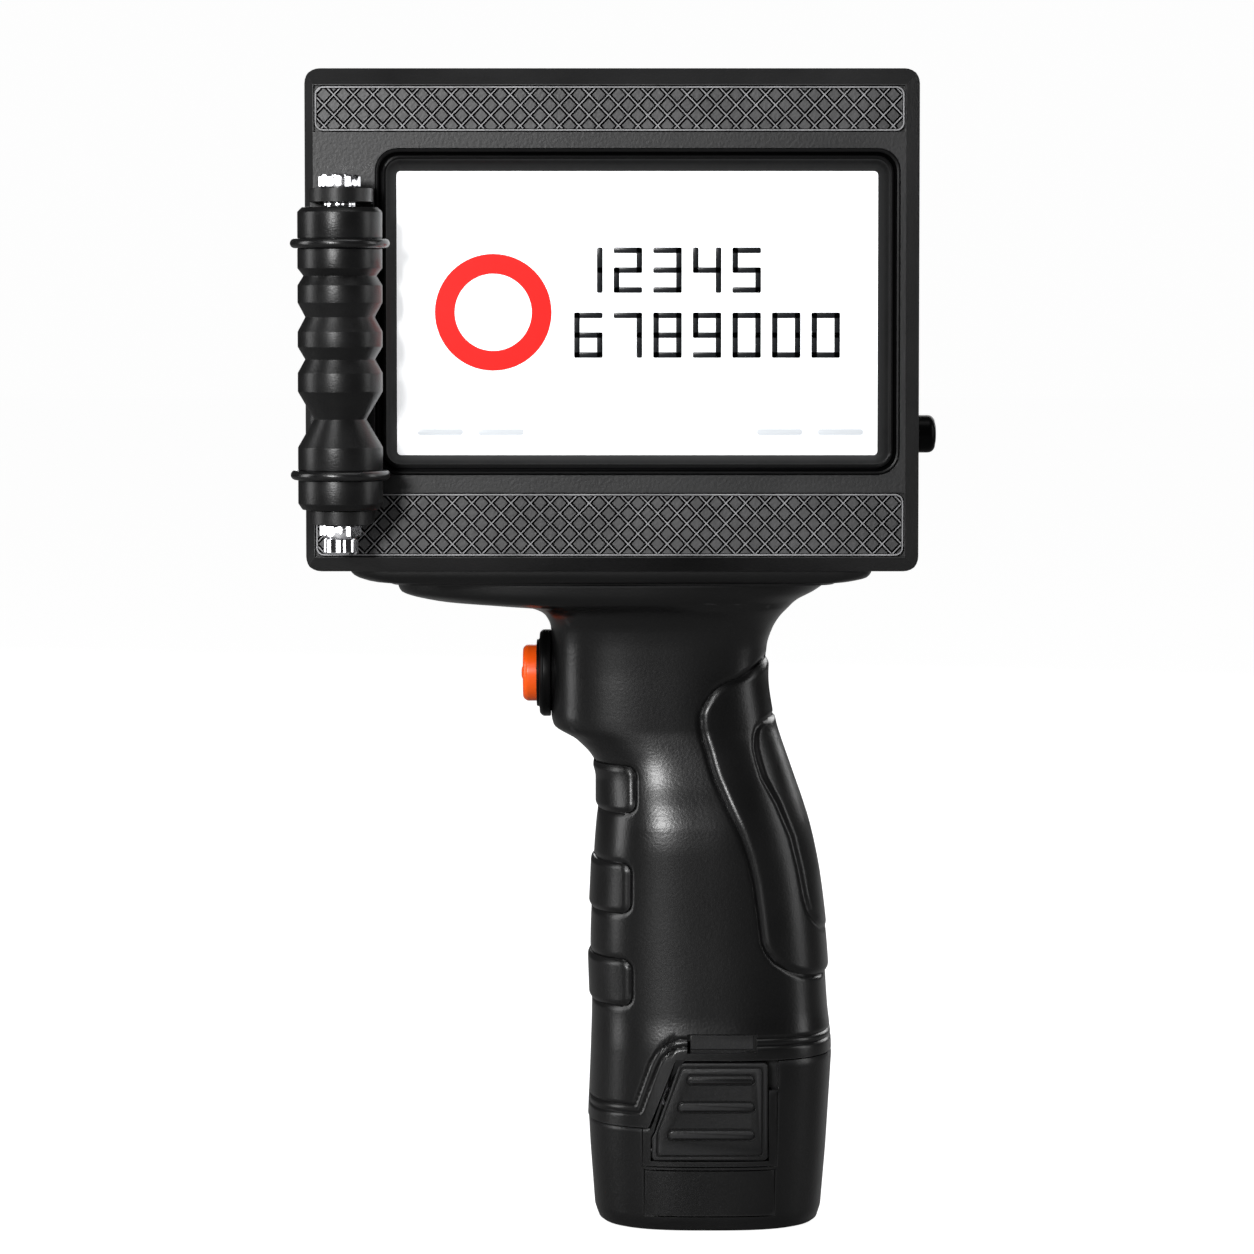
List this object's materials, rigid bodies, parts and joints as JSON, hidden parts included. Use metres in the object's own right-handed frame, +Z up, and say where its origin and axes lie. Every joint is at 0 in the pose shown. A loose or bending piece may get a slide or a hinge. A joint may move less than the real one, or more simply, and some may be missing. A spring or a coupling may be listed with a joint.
{
  "type": "handheld label maker",
  "caption": "Pistol-grip handheld ink coder for labelling, with a touch screen, guide rollers, an orange trigger and a clip-on battery pack.",
  "frame": {"origin": "centre of the battery's flat base, on the surface that the tool stands on", "axes": "+Z up; +X from the print face towards the back of the tool; -Y is the screen side"},
  "size_m": [0.1276, 0.1064, 0.2328],
  "materials": {
    "head_plastic": "black moulded plastic with a fine grain",
    "gloss_trim": "polished black plastic",
    "screen_glass": "flat glass over a lit white screen",
    "grip_texture": "black plastic moulded with raised lozenges",
    "circuit_board": "green solder mask",
    "dark_parts": "black moulded plastic",
    "steel": "plain steel",
    "black_screws": "black oxide steel",
    "chrome_hardware": "bright plated steel",
    "bracket_black": "black coated steel",
    "spool_black": "turned black plastic, semi-matte",
    "ring_rubber": "smooth black rubber",
    "handle_plastic": "black plastic with a fine spark texture",
    "soft_grip": "soft black overmoulding",
    "trigger_orange": "glossy orange plastic",
    "battery_plastic": "black plastic with a fine spark texture",
    "cell_wrap": "blue shrink wrap",
    "contact_metal": "gold plated contacts",
    "connector_red": "red connector plastic",
    "wire_jacket": "red wire insulation",
    "cartridge_plastic": "dark grey moulded plastic",
    "lever_grey": "grey moulded plastic"
  },
  "bodies": {
    "chassis": {"head_front_shell": "head_plastic", "head_rear_shell": "head_plastic", "screen_bezel": "gloss_trim", "touch_glass": "screen_glass", "lcd_panel": "steel", "upper_grip_strip": "grip_texture", "lower_grip_strip": "grip_texture", "main_board": "circuit_board", "board_components": "dark_parts", "board_standoffs": "steel", "cartridge_cradle": "dark_parts", "contact_block": "contact_metal", "print_face_plate": "steel", "face_plate_screws": "black_screws", "head_screws": "black_screws", "power_switch_body": "dark_parts", "usb_port": "steel", "front_roller_bracket": "bracket_black", "rear_roller_bracket": "bracket_black", "front_roller_bolt": "chrome_hardware", "rear_roller_bolt": "chrome_hardware", "front_roller_nuts": "chrome_hardware", "rear_roller_nuts": "chrome_hardware", "front_roller_spacers": "chrome_hardware", "rear_roller_spacers": "chrome_hardware", "encoder_sensor": "dark_parts", "mount_plate": "handle_plastic", "handle_near_shell": "handle_plastic", "handle_far_shell": "handle_plastic", "handle_screws": "black_screws", "palm_pad": "soft_grip", "finger_pads": "soft_grip", "trigger_bezel": "gloss_trim", "trigger_nut": "dark_parts", "trigger_switch": "dark_parts", "trigger_spring": "steel", "terminal_block": "connector_red", "terminal_blades": "contact_metal", "wiring_harness": "wire_jacket", "clamp_lever_pin": "steel"},
    "trigger": {"trigger_button": "trigger_orange"},
    "power_key": {"power_button": "gloss_trim"},
    "front_roller": {"front_spool": "spool_black", "front_rings": "ring_rubber", "front_bearings": "chrome_hardware"},
    "rear_roller": {"rear_spool": "spool_black", "rear_rings": "ring_rubber", "rear_bearings": "chrome_hardware", "encoder_disc": "steel"},
    "battery": {"battery_case": "battery_plastic", "battery_tower": "battery_plastic", "battery_cells": "cell_wrap", "battery_board": "circuit_board", "battery_terminals": "contact_metal", "latch_springs": "steel"},
    "near_latch": {"latch_near": "battery_plastic"},
    "far_latch": {"latch_far": "battery_plastic"},
    "cartridge": {"cartridge_case": "cartridge_plastic", "cartridge_head": "contact_metal"},
    "clamp": {"clamp_lever": "lever_grey"}
  },
  "joints": [
    {"name": "trigger_press", "type": "slide", "parent": "chassis", "child": "trigger", "axis": [1, 0, 0], "range_m": [0, 0.0025], "stiffness_N_per_m": 600, "springref_m": -0.003, "deforming": ["trigger_spring"]},
    {"name": "power_press", "type": "slide", "parent": "chassis", "child": "power_key", "axis": [-1, 0, 0], "range_m": [0, 0.0015], "stiffness_N_per_m": 800, "springref_m": -0.0015},
    {"name": "front_roller_spin", "type": "hinge", "parent": "chassis", "child": "front_roller", "pos_m": [-0.0724, -0.0435, 0.176], "axis": [0, 0, 1], "continuous": true},
    {"name": "rear_roller_spin", "type": "hinge", "parent": "chassis", "child": "rear_roller", "pos_m": [-0.0724, 0.0435, 0.176], "axis": [0, 0, 1], "continuous": true},
    {"name": "battery_slide", "type": "slide", "parent": "chassis", "child": "battery", "axis": [0, 0, -1], "range_m": [0, 0.058]},
    {"name": "latch_near_press", "type": "hinge", "parent": "battery", "child": "near_latch", "pos_m": [0, -0.0203, 0.0166], "axis": [-1, 0, 0], "range_deg": [0, 2.75], "stiffness_Nm_per_rad": 0.8, "springref_deg": -2.86, "deforming": ["latch_springs"]},
    {"name": "latch_far_press", "type": "hinge", "parent": "battery", "child": "far_latch", "pos_m": [0, 0.0203, 0.0166], "axis": [1, 0, 0], "range_deg": [0, 2.75], "stiffness_Nm_per_rad": 0.8, "springref_deg": -2.86, "deforming": ["latch_springs"]},
    {"name": "cartridge_lift", "type": "slide", "parent": "chassis", "child": "cartridge", "axis": [0, 0, 1], "range_m": [0, 0.085]},
    {"name": "clamp_lever_turn", "type": "hinge", "parent": "chassis", "child": "clamp", "pos_m": [-0.0046, 0.016, 0.2276], "axis": [0, -1, 0], "range_deg": [0, 90]}
  ]
}
